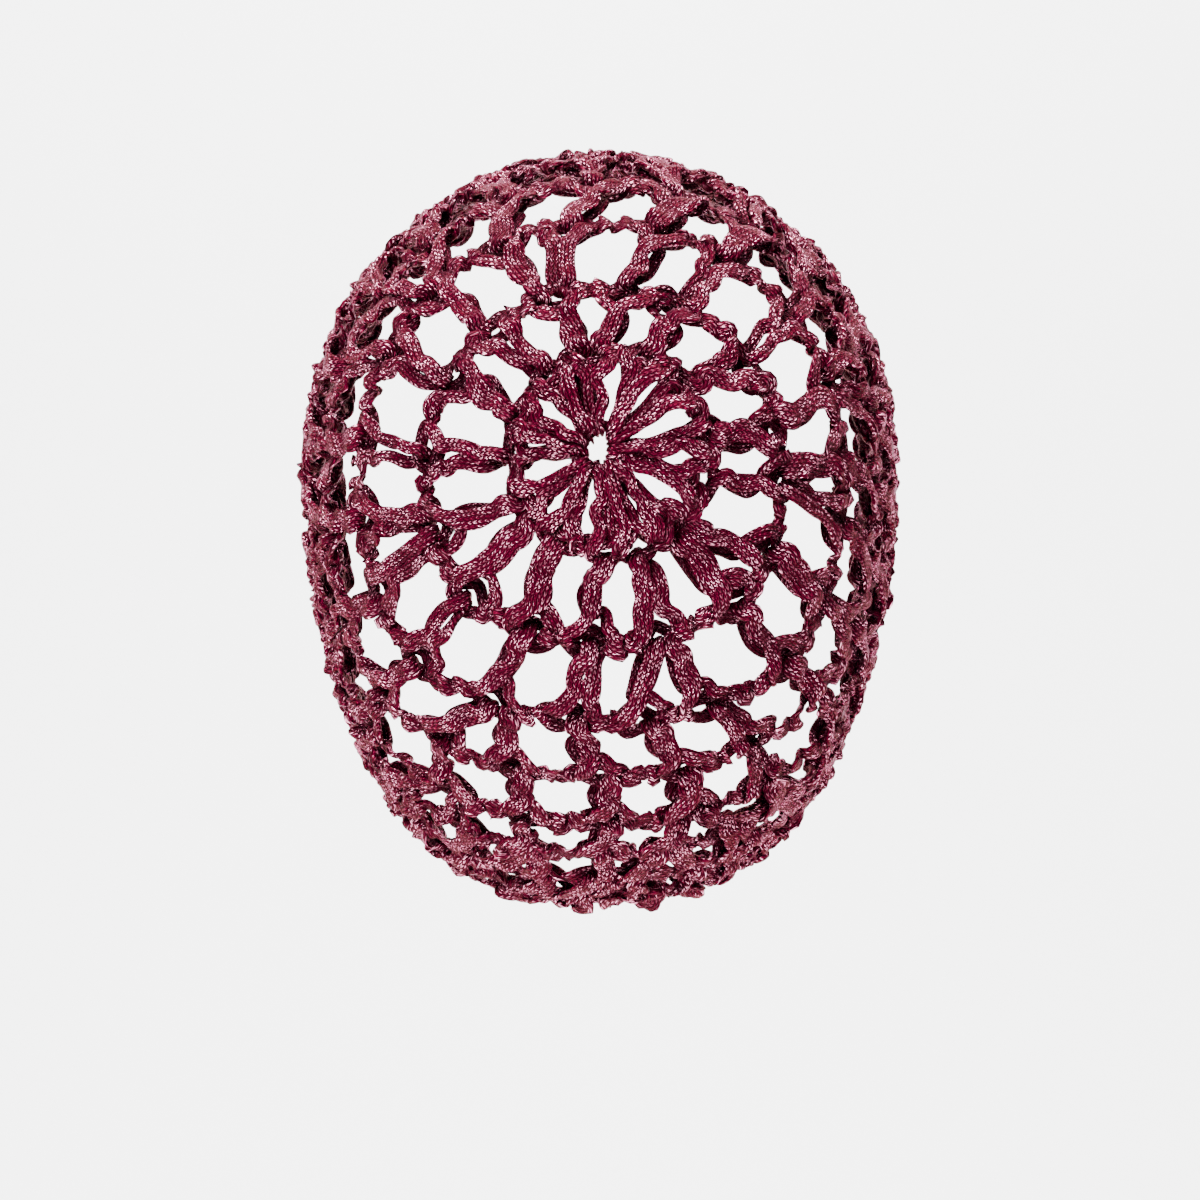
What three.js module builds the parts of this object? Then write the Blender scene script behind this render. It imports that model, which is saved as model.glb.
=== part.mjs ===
// Crochet hair snood: a cap of open net, worked in rounds of posts and chains from a
// rosette at the back of the head to a dense gathered rim, in the shape that it has
// when it is worn. Millimetres, +Z up, and the wearer faces +Y. The origin is on the
// inner face at the top of the crown, where the snood rests.

import * as THREE from 'three';

// The hollow that the head fills, measured on the inner face of the net
const halfWidth = 79.5; // from the middle to each side
const crownHeight = 83.5; // from the middle of the rosette up to the top of the crown
const napeDrop = 125.5; // from the middle of the rosette down to the lowest curve of the nape
const backDepth = 88; // from the rosette forwards to the widest section
const crownRoundness = 2; // power of the outline's curve above the rosette, 2 for an ellipse
const napeRoundness = 2.15; // power of the outline's curve below the rosette

// The net, in flat knitted ribbon
const netWall = 3.6; // two ribbons and their loops
const rimWall = 4.4; // the edge round, folded over itself
const chainWidth = 5.4; // the chain that closes each round
const chainRise = 0.5; // how far a chain stands out past the posts
const postWidth = 6.4; // one stitch of an open round, at its two ends
const postWaist = 0.8; // a post's width at half height, as a share of postWidth
const archDepth = 1.6; // how much deeper a gap is in its middle than at its corners
const roundClearance = 0.4; // between one round and the next

// The rosette in the middle of the back
const rosetteRadius = 27.5;
const rosetteShift = 3; // how far its edge lies off centre, towards the seam
const centreHole = 3.8; // radius of the ring that the first round is worked into
const centreRingWidth = 4.2;
const petalWidth = 6; // one petal at its outer end
const petalWaist = 0.78; // a petal's width halfway out, as a share of petalWidth
const petalFootShare = 0.68; // part of the centre ring's edge that the petals' feet cover

// Where the rounds are joined, in degrees from the crown towards the right side
const seamAngle = 100;
const seamCrowding = 0.06; // share by which the posts stand closer at the seam
const napeCrowding = 0.1; // share by which they stand closer at the nape
const unevenness = 0.1; // how far posts stray to either side, as a share of their spacing
const unevenTurn = 1.19; // radians that the stray's wave turns, times the post's number squared
const twinSpread = 2.6; // from the middle of a shared foot to each of the two posts on it
const twinFoot = 0.75; // width of such a post's foot, as a share of postWidth

// How far the net turns over the head, for directions from the crown (0) by the side
// (90) to the nape (180). turn is the angle from the back of the head at which the rim
// lies, and crowding draws the rounds towards the rosette's side of their even places.
const RIM = [
  { around: 0, turn: 108, crowding: 1.27 },
  { around: 45, turn: 110, crowding: 1.22 },
  { around: 90, turn: 111, crowding: 1.13 },
  { around: 120, turn: 109, crowding: 1.06 },
  { around: 140, turn: 99, crowding: 1 },
  { around: 155, turn: 84, crowding: 1 },
  { around: 180, turn: 73, crowding: 1 },
];

// The rounds after the rosette. reach is the share of the way from the rosette to the
// rim at which a round ends, and start is the direction of its first post.
const ROUNDS = [
  { name: 'net_round_2', posts: 16, reach: 0.2, start: 4, open: true },
  { name: 'net_round_3', posts: 20, reach: 0.39, start: -8, open: true },
  { name: 'net_round_4', posts: 23, reach: 0.535, start: -5, open: true },
  { name: 'net_round_5', posts: 25, reach: 0.67, start: -6, open: true },
  { name: 'net_round_6', posts: 34, reach: 0.776, start: 4, open: true },
  { name: 'dense_round_7', posts: 24, reach: 0.88, start: 5, open: false },
  { name: 'dense_round_8', posts: 24, reach: 0.955, start: 5, open: false },
  { name: 'rim_edge', posts: 24, reach: 1, start: 5, open: false },
];
const ROSETTE = { name: 'rosette', posts: 13, reach: 0, start: -8 };

const WINE = 0x6f1a35;
const MERIDIAN_STEPS = 90;
const GAP_COLUMNS = 3; // flat spans across one gap
const radians = THREE.MathUtils.degToRad;

// Smooth values of the RIM table in any direction, alike on both sides of the head
const rimCurve = new THREE.CubicInterpolant(
  RIM.map((row) => row.around),
  RIM.flatMap((row) => [row.turn, row.crowding]),
  2,
);
rimCurve.settings = { endingStart: THREE.ZeroSlopeEnding, endingEnd: THREE.ZeroSlopeEnding };

function rimAt(around) {
  const folded = Math.abs(THREE.MathUtils.euclideanModulo(around + 180, 360) - 180);
  const [turn, crowding] = rimCurve.evaluate(folded);
  return { turn: radians(turn), crowding };
}

// Distance from the rosette's axis to the widest section's outline
function outline(around) {
  const across = Math.abs(Math.sin(radians(around)));
  const along = Math.cos(radians(around));
  const height = along >= 0 ? crownHeight : napeDrop;
  const power = along >= 0 ? crownRoundness : napeRoundness;
  return ((across / halfWidth) ** power + (Math.abs(along) / height) ** power) ** (-1 / power);
}

// A point of the net: a turn from the back of the head in one direction, then out
// from the inner face by rise
function pointAt(around, turn, rise) {
  const angle = radians(around);
  const radius = outline(around);
  const step = 0.01;
  const growth = (outline(around + step) - outline(around - step)) / (2 * radians(step));
  const sideways = new THREE.Vector3(
    growth * Math.sin(angle) + radius * Math.cos(angle),
    0,
    growth * Math.cos(angle) - radius * Math.sin(angle),
  );
  const forwards = new THREE.Vector3(
    radius * Math.cos(turn) * Math.sin(angle),
    backDepth * Math.sin(turn),
    radius * Math.cos(turn) * Math.cos(angle),
  );
  const outwards = sideways.cross(forwards).normalize();
  return new THREE.Vector3(
    radius * Math.sin(turn) * Math.sin(angle),
    -backDepth * Math.cos(turn),
    radius * Math.sin(turn) * Math.cos(angle) - crownHeight,
  ).addScaledVector(outwards, rise);
}

// Length along the net from the middle of the rosette, at even steps up to the rim
const meridians = new Map();
function meridian(around) {
  if (meridians.has(around)) return meridians.get(around);
  const { turn } = rimAt(around);
  const radius = outline(around);
  const speed = (angle) => Math.hypot(radius * Math.cos(angle), backDepth * Math.sin(angle));
  const step = turn / MERIDIAN_STEPS;
  const lengths = [0];
  for (let i = 0; i < MERIDIAN_STEPS; i++) {
    lengths.push(lengths[i] + (step * (speed(i * step) + speed((i + 1) * step))) / 2);
  }
  meridians.set(around, { lengths, step });
  return meridians.get(around);
}

function turnAt(around, length) {
  const { lengths, step } = meridian(around);
  const after = lengths.findIndex((value) => value > length);
  const i = after < 0 ? MERIDIAN_STEPS - 1 : Math.max(after - 1, 0);
  return step * (i + (length - lengths[i]) / (lengths[i + 1] - lengths[i]));
}

// Where a round ends in one direction, as a length from the middle of the rosette
function roundEnd(around, reach) {
  const whole = meridian(around).lengths[MERIDIAN_STEPS];
  const shift = rosetteShift * Math.cos(radians(around - seamAngle)) * (1 - reach) ** 3;
  return rosetteRadius + (whole - rosetteRadius) * reach ** rimAt(around).crowding + shift;
}

// Millimetres that one degree covers sideways at a place on the net
function degreeWidth(around, length) {
  const turn = turnAt(around, length);
  return pointAt(around - 0.5, turn, 0).distanceTo(pointAt(around + 0.5, turn, 0));
}

// The direction of a post's top: uneven, and closer together at the seam and the nape
function postAngle(round, number) {
  const spacing = 360 / round.posts;
  const even = round.start + spacing * number;
  const place = THREE.MathUtils.euclideanModulo(number, round.posts) + round.posts;
  const stray = unevenness * spacing * Math.sin(unevenTurn * place ** 2);
  const toSeam = seamCrowding * Math.sin(radians(even - seamAngle));
  const toNape = napeCrowding * Math.sin(radians(even - 180));
  return even + stray - THREE.MathUtils.radToDeg(toSeam + toNape);
}

// The post of the round before that a post stands on, the nearest one, and the way to
// it in degrees
function parentOf(round, before, number) {
  const top = postAngle(round, number);
  const ways = Array.from({ length: before.posts }, (_, parent) => {
    const way = THREE.MathUtils.euclideanModulo(postAngle(before, parent) - top + 180, 360) - 180;
    return { parent, way };
  });
  return ways.reduce((best, next) => (Math.abs(next.way) < Math.abs(best.way) ? next : best));
}

// Where a post stands, as its middle and its width. Where the net grows, two posts
// share a foot and stand side by side on it.
function footOf(round, before, number, lengthAt) {
  const { parent, way } = parentOf(round, before, number);
  const middle = postAngle(round, number) + way;
  const leftTwin = parentOf(round, before, number - 1).parent === parent;
  const rightTwin = parentOf(round, before, number + 1).parent === parent;
  if (!leftTwin && !rightTwin) return { middle, width: postWidth };
  const spread = twinSpread / degreeWidth(middle, lengthAt(middle));
  return { middle: middle + (leftTwin ? spread : -spread), width: postWidth * twinFoot };
}

// A closed body from a grid of rows away from the rosette and columns around the head.
// pointOf gives a grid point on the inner or outer face, isFilled says which cells are
// net and which are gap, and each free edge of the net gets its own wall.
function gridBody(rows, columns, pointOf, isFilled) {
  const positions = [];
  const index = [];
  const numbers = new Map();
  const vertex = (row, column, outer) => {
    const key = `${row} ${column % columns} ${outer}`;
    if (!numbers.has(key)) {
      numbers.set(key, numbers.size);
      positions.push(...pointOf(row, column % columns, outer).toArray());
    }
    return numbers.get(key);
  };
  const filled = (row, column) =>
    row >= 0 && row < rows && isFilled(row, (column + columns) % columns);
  const quad = (a, b, c, d) => index.push(a, b, c, a, c, d);
  for (let row = 0; row < rows; row++) {
    for (let column = 0; column < columns; column++) {
      if (!filled(row, column)) continue;
      const corners = [
        [row, column],
        [row, column + 1],
        [row + 1, column + 1],
        [row + 1, column],
      ];
      const inner = corners.map(([r, c]) => vertex(r, c, false));
      const outer = corners.map(([r, c]) => vertex(r, c, true));
      const beyond = [
        [row - 1, column],
        [row, column + 1],
        [row + 1, column],
        [row, column - 1],
      ];
      quad(...outer);
      quad(...inner.toReversed());
      beyond.forEach(([r, c], side) => {
        const next = (side + 1) % 4;
        if (!filled(r, c)) quad(inner[side], inner[next], outer[next], outer[side]);
      });
    }
  }
  const geometry = new THREE.BufferGeometry();
  geometry.setAttribute('position', new THREE.Float32BufferAttribute(positions, 3));
  geometry.setIndex(index);
  geometry.computeVertexNormals();
  return geometry;
}

// One round as a body. Each row has its place along the net and its rise, says where
// each post is there and how wide, and says if it is chain all round.
function roundBody(round, rows) {
  const perPost = 1 + GAP_COLUMNS;
  const edgesOf = (row, number) => {
    const { middle, width } = row.postAt(number);
    const half = width / 2 / degreeWidth(middle, row.lengthAt(middle));
    return [middle - half, middle + half];
  };
  const placeOf = (row, column) => {
    const number = Math.floor(column / perPost);
    const part = column % perPost;
    const [left, right] = edgesOf(row, number);
    if (part < 2) return { around: part === 0 ? left : right, arch: 0 };
    const share = (part - 1) / GAP_COLUMNS;
    const next = edgesOf(row, number + 1)[0];
    return { around: right + (next - right) * share, arch: row.arch * Math.sin(Math.PI * share) };
  };
  const pointOf = (rowNumber, column, outer) => {
    const row = rows[rowNumber];
    const { around, arch } = placeOf(row, column);
    const length = row.lengthAt(around) + arch;
    return pointAt(around, turnAt(around, length), outer ? row.rise : 0);
  };
  const isFilled = (row, column) => rows[row].chain || column % perPost === 0;
  return gridBody(rows.length - 1, round.posts * perPost, pointOf, isFilled);
}

// Rows of an open round: feet, waist, the chain's inner edge and its outer edge
function openRows(before, round) {
  const foot = (around) => roundEnd(around, before.reach) + roundClearance;
  const end = (around) => roundEnd(around, round.reach);
  const chain = (around) => end(around) - chainWidth;
  const waist = (around) => (foot(around) + chain(around)) / 2;
  const footAt = (number) => footOf(round, before, number, foot);
  const topAt = (number) => ({ middle: postAngle(round, number), width: postWidth });
  const waistAt = (number) => ({
    middle: (footAt(number).middle + topAt(number).middle) / 2,
    width: postWidth * postWaist,
  });
  return [
    { lengthAt: foot, postAt: footAt, rise: netWall, arch: 0, chain: false },
    { lengthAt: waist, postAt: waistAt, rise: netWall, arch: 0, chain: false },
    { lengthAt: chain, postAt: topAt, rise: netWall, arch: archDepth, chain: true },
    { lengthAt: end, postAt: topAt, rise: netWall + chainRise, arch: 0, chain: true },
  ];
}

// Rows of a dense round, a closed band that swells towards its middle
function denseRows(before, round) {
  const wall = round.reach < 1 ? netWall : rimWall;
  const start = (around) => roundEnd(around, before.reach) + roundClearance;
  const end = (around) => roundEnd(around, round.reach);
  const middle = (around) => (start(around) + end(around)) / 2;
  const postAt = (number) => ({ middle: postAngle(round, number), width: postWidth });
  const row = (lengthAt, rise) => ({ lengthAt, postAt, rise, arch: 0, chain: true });
  return [row(start, wall), row(middle, wall + chainRise), row(end, wall)];
}

// Rows of the rosette: its centre ring, the petals and the chain around them
function rosetteRows() {
  const ringEdge = centreHole + centreRingWidth;
  const footWidth = (petalFootShare * 2 * Math.PI * ringEdge) / ROSETTE.posts;
  const end = (around) => roundEnd(around, ROSETTE.reach);
  const chain = (around) => end(around) - chainWidth;
  const middle = (around) => (ringEdge + chain(around)) / 2;
  const raised = netWall + chainRise;
  const row = (lengthAt, width, rise, chainRow) => {
    const postAt = (number) => ({ middle: postAngle(ROSETTE, number), width });
    return { lengthAt, postAt, rise, arch: 0, chain: chainRow };
  };
  return [
    row(() => centreHole, footWidth * 0.42, netWall, true),
    row(() => ringEdge, footWidth, netWall, false),
    row(middle, petalWidth * petalWaist, raised, false),
    row(chain, petalWidth, netWall, true),
    row(end, petalWidth, raised, true),
  ];
}

function ribbonMaterial() {
  return new THREE.MeshStandardMaterial({ color: WINE, roughness: 0.5, metalness: 0 });
}

const snood = new THREE.Group();

function addPiece(name, geometry) {
  const mesh = new THREE.Mesh(geometry, ribbonMaterial());
  mesh.name = name;
  snood.add(mesh);
}

addPiece(ROSETTE.name, roundBody(ROSETTE, rosetteRows()));
ROUNDS.forEach((round, number) => {
  const before = number === 0 ? ROSETTE : ROUNDS[number - 1];
  const rows = round.open ? openRows(before, round) : denseRows(before, round);
  addPiece(round.name, roundBody(round, rows));
});

export default snood;
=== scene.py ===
import math

import bpy
import numpy as np
from bpy.props import FloatProperty, FloatVectorProperty, IntProperty, PointerProperty
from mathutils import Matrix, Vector


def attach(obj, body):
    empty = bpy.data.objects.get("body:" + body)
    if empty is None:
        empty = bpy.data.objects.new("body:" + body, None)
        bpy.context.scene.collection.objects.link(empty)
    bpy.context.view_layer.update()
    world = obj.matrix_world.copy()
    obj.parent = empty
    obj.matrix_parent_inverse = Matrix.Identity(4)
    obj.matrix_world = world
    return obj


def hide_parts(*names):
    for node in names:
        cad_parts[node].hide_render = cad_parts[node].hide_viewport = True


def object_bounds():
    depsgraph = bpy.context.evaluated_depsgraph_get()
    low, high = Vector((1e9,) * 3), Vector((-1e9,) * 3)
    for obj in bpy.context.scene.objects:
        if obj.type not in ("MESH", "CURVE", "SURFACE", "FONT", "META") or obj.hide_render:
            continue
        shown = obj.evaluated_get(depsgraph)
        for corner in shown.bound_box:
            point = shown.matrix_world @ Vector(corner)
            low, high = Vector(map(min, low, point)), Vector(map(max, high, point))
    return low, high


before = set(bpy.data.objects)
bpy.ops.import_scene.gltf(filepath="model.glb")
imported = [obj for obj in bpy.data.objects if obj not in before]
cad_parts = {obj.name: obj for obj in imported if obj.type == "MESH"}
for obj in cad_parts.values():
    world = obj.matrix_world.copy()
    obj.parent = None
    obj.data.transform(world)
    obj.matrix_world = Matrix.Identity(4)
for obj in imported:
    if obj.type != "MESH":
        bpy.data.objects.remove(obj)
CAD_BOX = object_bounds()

bl_info = {
    "name": "Crochet Hair Snood",
    "version": (1, 0, 0),
    "blender": (4, 5, 0),
    "location": "3D View > Sidebar > Snood",
    "description": "Crochets a hair snood in shiny knitted ribbon, round by round",
    "category": "Add Mesh",
}

MM = 0.001
BODY = "root"

# How far the net wraps round from the rosette, for directions from the crown (0) by the
# side (90) to the nape (180): the rim's turn in degrees, and how the rounds crowd together
RIM_AROUND = (0, 45, 90, 120, 140, 155, 180)
RIM_TURN = (108, 110, 111, 109, 99, 84, 73)
RIM_CROWDING = (1.27, 1.22, 1.13, 1.06, 1, 1, 1)

# Each round: CAD node, posts, end as a share of the way to the rim, first post in degrees,
# and in a close round how much it is gathered at the nape
ROSETTE = {"node": "rosette", "posts": 13, "reach": 0.0, "start": -8}
OPEN_ROUNDS = (
    {"node": "net_round_2", "posts": 16, "reach": 0.2, "start": 4},
    {"node": "net_round_3", "posts": 20, "reach": 0.39, "start": -8},
    {"node": "net_round_4", "posts": 23, "reach": 0.535, "start": -5},
    {"node": "net_round_5", "posts": 25, "reach": 0.67, "start": -6},
    {"node": "net_round_6", "posts": 34, "reach": 0.776, "start": 4},
)
DENSE_ROUNDS = (
    {"node": "dense_round_7", "posts": 44, "reach": 0.88, "start": 5, "gather": 0.28},
    {"node": "dense_round_8", "posts": 50, "reach": 0.955, "start": 2, "gather": 0.28},
)
RIM_EDGE = {"node": "rim_edge", "posts": 52, "reach": 1.0, "start": 0, "gather": 0.28}
# Directions in degrees where the posts stand closer together, and by what share
SEAM_ANGLE = 100
SEAM_CROWDING = 0.06
NAPE_ANGLE = 180
NAPE_CROWDING = 0.1
# How far posts stray from even spacing, as a share of it, and what varies it from post to
# post
UNEVENNESS = 0.1
UNEVEN_TURN = 1.19
# From the middle of a shared foot to each of the two posts on it
TWIN_SPREAD = 2.2 * MM

# One stitch of an open round, as the ribbon runs, in rows of span, side, up, out, twist
# and width: span is the share of the way to the next post, side and out are millimetres
# from the post's line and from the net's inner face, up is the share of the way from the
# last chain to this one, twist is in degrees from lying flat, and width is a share of the
# ribbon's own
OPEN_STITCH = (
    # along the outer edge of the eye at the post's end
    (0.0, -5.0, 1.04, 2.4, 10, 0.77),
    (0.0, -2.8, 1.14, 1.6, 10, 0.71),
    (0.0, 0.2, 1.18, 1.4, 0, 0.71),
    (0.0, 3.0, 1.15, 1.6, 0, 0.75),
    (0.0, 5.0, 1.09, 2.1, 0, 0.79),
    (0.0, 5.9, 1.00, 3.4, 0, 0.83),
    # back over the front and down the post as a broad band
    (0.0, 4.8, 0.90, 4.7, 0, 0.90),
    (0.0, 2.6, 0.78, 4.8, 0, 1.05),
    (0.0, 0.9, 0.64, 4.1, 0, 1.20),
    (0.0, 0.2, 0.48, 3.7, 0, 1.24),
    (0.0, -0.2, 0.32, 3.8, 0, 1.24),
    (0.0, -0.3, 0.20, 4.3, 0, 1.24),
    # round the last chain and up behind
    (0.0, -0.3, 0.10, 3.5, 0, 1.18),
    (0.0, -0.3, 0.05, 1.7, 0, 1.07),
    (0.0, -0.1, 0.15, 0.5, 0, 0.96),
    (0.0, 1.8, 0.36, 1.1, 10, 0.91),
    (0.0, 3.2, 0.56, 2.0, 25, 0.86),
    (0.0, 1.8, 0.73, 1.8, 20, 0.81),
    # out from behind the band, to the left
    (0.0, -1.8, 0.72, 2.8, 10, 0.86),
    (0.0, -4.0, 0.83, 3.9, 10, 0.90),
    (0.0, -5.6, 0.95, 3.6, 10, 0.86),
    (0.0, -5.8, 1.04, 2.0, 10, 0.77),
    # behind to the right, and along the chain in two links
    (0.0, -3.8, 1.02, 0.8, 20, 0.66),
    (0.0, 1.0, 0.92, 0.7, 20, 0.66),
    (0.0, 4.8, 0.97, 1.4, 10, 0.79),
    (0.34, 0.0, 1.00, 3.0, 5, 1.03),
    (0.41, 0.0, 1.01, 4.0, 0, 1.18),
    (0.48, 0.0, 1.02, 3.2, 0, 1.01),
    (0.53, 0.0, 1.03, 2.2, 5, 0.81),
    (0.58, 0.0, 1.03, 3.2, 0, 1.03),
    (0.65, 0.0, 1.03, 4.0, 0, 1.18),
    (0.73, 0.0, 1.03, 3.2, 5, 1.03),
)
# The same stitch with its post as two strands side by side
SPLIT_STITCH = (
    *OPEN_STITCH[:7],
    (0.0, 3.2, 0.79, 4.6, 0, 0.92),
    (0.0, 2.2, 0.66, 4.2, 0, 0.90),
    (0.0, 1.7, 0.50, 3.9, 0, 0.86),
    (0.0, 1.6, 0.34, 3.8, 0, 0.86),
    (0.0, 1.5, 0.21, 4.2, 0, 0.86),
    (0.0, 1.0, 0.10, 3.5, 0, 0.79),
    (0.0, 0.2, 0.05, 1.7, 0, 0.73),
    (0.0, -1.2, 0.14, 0.8, 0, 0.75),
    (0.0, -1.8, 0.30, 2.4, 10, 0.83),
    (0.0, -1.7, 0.50, 3.3, 10, 0.88),
    (0.0, -2.0, 0.64, 3.8, 10, 0.90),
    (0.0, -2.9, 0.74, 4.1, 10, 0.90),
    *OPEN_STITCH[19:],
)
OPEN_CHARTS = (OPEN_STITCH, OPEN_STITCH, SPLIT_STITCH)
# One petal of the rosette, worked the same way round the centre ring
PETAL = (
    (0.0, -4.4, 1.03, 2.4, 10, 0.79),
    (0.0, -2.2, 1.13, 1.6, 10, 0.73),
    (0.0, 0.6, 1.15, 1.4, 0, 0.73),
    (0.0, 3.2, 1.11, 1.8, 0, 0.77),
    (0.0, 4.8, 1.02, 3.2, 0, 0.86),
    # back over the front and down, right of the petal's middle
    (0.0, 4.3, 0.92, 4.7, 5, 0.94),
    (0.0, 2.6, 0.80, 4.8, 0, 0.88),
    (0.0, 1.5, 0.66, 4.3, 0, 0.77),
    (0.0, 1.3, 0.50, 4.0, 0, 0.66),
    (0.0, 1.0, 0.34, 4.0, 5, 0.62),
    (0.0, 0.6, 0.18, 3.9, 10, 0.58),
    (0.0, 0.2, 0.02, 3.6, 10, 0.54),
    (0.0, 0.1, -0.08, 2.9, 0, 0.50),
    # round the centre ring and up behind
    (0.0, 0.0, -0.09, 1.5, 0, 0.46),
    (0.0, 0.0, 0.02, 0.5, 0, 0.46),
    (0.0, -0.2, 0.34, 0.6, 10, 0.5),
    (0.0, -1.6, 0.72, 1.0, 20, 0.64),
    (0.0, -3.8, 0.96, 1.4, 20, 0.75),
    (0.0, -4.7, 1.02, 2.8, 10, 0.86),
    # down again, left of the middle
    (0.0, -4.0, 0.92, 4.1, 10, 0.92),
    (0.0, -2.4, 0.82, 4.0, 10, 0.83),
    (0.0, -1.5, 0.68, 3.6, 10, 0.73),
    (0.0, -1.3, 0.50, 3.2, 10, 0.62),
    (0.0, -0.9, 0.28, 3.0, 10, 0.56),
    (0.0, -0.3, 0.04, 2.5, 10, 0.48),
    (0.0, 0.0, -0.07, 1.6, 0, 0.42),
    (0.0, 0.0, -0.03, 0.7, 0, 0.4),
    (0.0, 0.2, 0.12, 0.4, 0, 0.4),
    # up behind, across to the left and away along the chain
    (0.0, 0.4, 0.48, 0.6, 20, 0.6),
    (0.0, -1.6, 0.74, 2.2, 20, 0.75),
    (0.0, -0.8, 0.86, 3.2, 10, 0.86),
    (0.0, 2.6, 0.90, 2.0, 20, 0.86),
    (0.30, 0.0, 0.94, 2.2, 10, 1.01),
    (0.42, 0.0, 0.97, 3.8, 0, 1.18),
    (0.52, 0.0, 1.00, 3.0, 0, 0.98),
    (0.62, 0.0, 1.00, 3.7, 0, 1.13),
)
# One stitch of a dense round: a low post and its loop along the edge
DENSE_STITCH = (
    (0.0, -3.6, 1.03, 2.4, 10, 0.70),
    (0.0, 0.0, 1.13, 1.7, 0, 0.74),
    (0.0, 3.6, 1.04, 2.6, 0, 0.82),
    (0.0, 3.4, 0.88, 4.2, 0, 0.92),
    (0.0, 1.6, 0.70, 4.6, 0, 1.08),
    (0.0, 0.3, 0.44, 4.0, 0, 1.22),
    (0.0, -0.2, 0.20, 4.2, 0, 1.24),
    (0.0, -0.4, -0.02, 4.2, 0, 1.18),
    (0.0, -0.4, -0.12, 2.4, 0, 1.02),
    (0.0, -0.4, 0.02, 0.8, 0, 0.95),
    (0.0, 1.6, 0.34, 0.9, 10, 0.9),
    (0.0, 2.8, 0.66, 1.6, 15, 0.9),
    (0.0, -0.4, 0.80, 2.2, 20, 0.84),
    (0.0, -3.4, 0.88, 3.8, 10, 0.90),
    (0.0, -4.0, 1.02, 2.6, 10, 0.80),
    (0.0, -1.8, 1.02, 1.0, 10, 0.70),
    (0.0, 1.8, 0.94, 1.2, 10, 0.72),
    (0.36, 0.0, 0.90, 3.0, 10, 1.04),
    (0.50, 0.0, 0.92, 3.8, 0, 1.22),
    (0.66, 0.0, 0.96, 3.1, 0, 1.04),
)
# How the ribbon strays from its chart, as shares of its looseness: sideways, outwards and
# along the post at each point, and along the post for a whole stitch
STRAY_SIDE = 0.8
STRAY_OUT = 0.5
STRAY_ALONG = 0.7
STRAY_STITCH = 0.6
# The same for its twist in degrees, and for its width as a share
STRAY_TWIST = 16
STRAY_WIDTH = 0.1
# The ribbon's middle stays at least this far out from the net's inner face
LEAST_OUT = 0.2 * MM
# The centre ring starts this many degrees before the first petal and has a point at each
# step; how far out it lies, and its stray as a share of the looseness
RING_START = -500
RING_STEP = 24.0
RING_OUT = 1.9 * MM
RING_STRAY = 0.4
# Twist, width, painted shade and fold of the ribbon in the centre ring
RING_VALUES = (10.0, 0.55, 0.35, 0.3)
# Sides of the ribbon's section, the length of one step along it, and how strongly it
# turns back to lying flat in each step
SECTION_SIDES = 12
STEP = 0.75 * MM
EASE = 0.5
# What a rail stores for the sweep alone, which the finished piece doesn't keep
RAIL_VALUES = (
    "across",
    "flat",
    "half_width",
    "half_thickness",
    "fold",
    "rail",
    "along",
    "section",
)
# A meridian of the net is measured in this many steps, to a little past the rim
SAMPLES_ALONG_MERIDIAN = 90
PAST_RIM = 1.1

# Each soft light on the snood: name, place and side of its square in metres, and power in
# watts
LIGHTS = (
    ("key", (-0.7, -1.2, 0.8), 0.4, 104),
    ("fill", (1.1, -1.1, 0.1), 1.0, 7),
    ("top", (0.0, 0.1, 1.3), 0.9, 8),
)
WALL_LIGHT = ("wall", (0.0, 0.2, 1.6), 1.6, 220)
WALL_TARGET = (0, 1.6, -0.1)
WORLD_STRENGTH = 0.14
# The backdrop: its near edge, its wall, the bend between floor and wall, the wall's
# height and half the width
BACKDROP_NEAR = -2.5
BACKDROP_FAR = 1.6
BACKDROP_BEND = 0.6
BACKDROP_HEIGHT = 2.6
BACKDROP_HALF_WIDTH = 3.0
BEND_STEPS = 12
# Width of the camera's sensor in millimetres
SENSOR_WIDTH = 36


class SnoodForm(bpy.types.PropertyGroup):
    """Sizes of the snood's hollow, on the net's inner face"""

    half_width: FloatProperty(
        name="Half width",
        description="From the middle of the snood to each side",
        default=79.5 * MM,
        unit="LENGTH",
    )
    crown_height: FloatProperty(
        name="Crown height",
        description="From the rosette's middle up to the top of the crown",
        default=83.5 * MM,
        unit="LENGTH",
    )
    nape_drop: FloatProperty(
        name="Nape drop",
        description="From the rosette's middle down to the lowest curve of the nape",
        default=125.5 * MM,
        unit="LENGTH",
    )
    back_depth: FloatProperty(
        name="Back depth",
        description="From the rosette forwards to the widest section",
        default=88 * MM,
        unit="LENGTH",
    )
    crown_roundness: FloatProperty(
        name="Crown roundness",
        description="Power of the outline's curve above the rosette, 2 for an ellipse",
        default=2.0,
    )
    nape_roundness: FloatProperty(
        name="Nape roundness",
        description="Power of the outline's curve below the rosette",
        default=2.15,
    )
    rosette_radius: FloatProperty(
        name="Rosette radius",
        description="From the rosette's middle to the outer edge of its chain",
        default=27.5 * MM,
        unit="LENGTH",
    )
    rosette_shift: FloatProperty(
        name="Rosette shift",
        description="How far the rosette's edge lies off centre, towards the seam",
        default=3 * MM,
        unit="LENGTH",
    )
    rosette_foot: FloatProperty(
        name="Petal foot radius",
        description="Radius of the ring that the petals are worked into",
        default=6.2 * MM,
        unit="LENGTH",
    )


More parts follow.
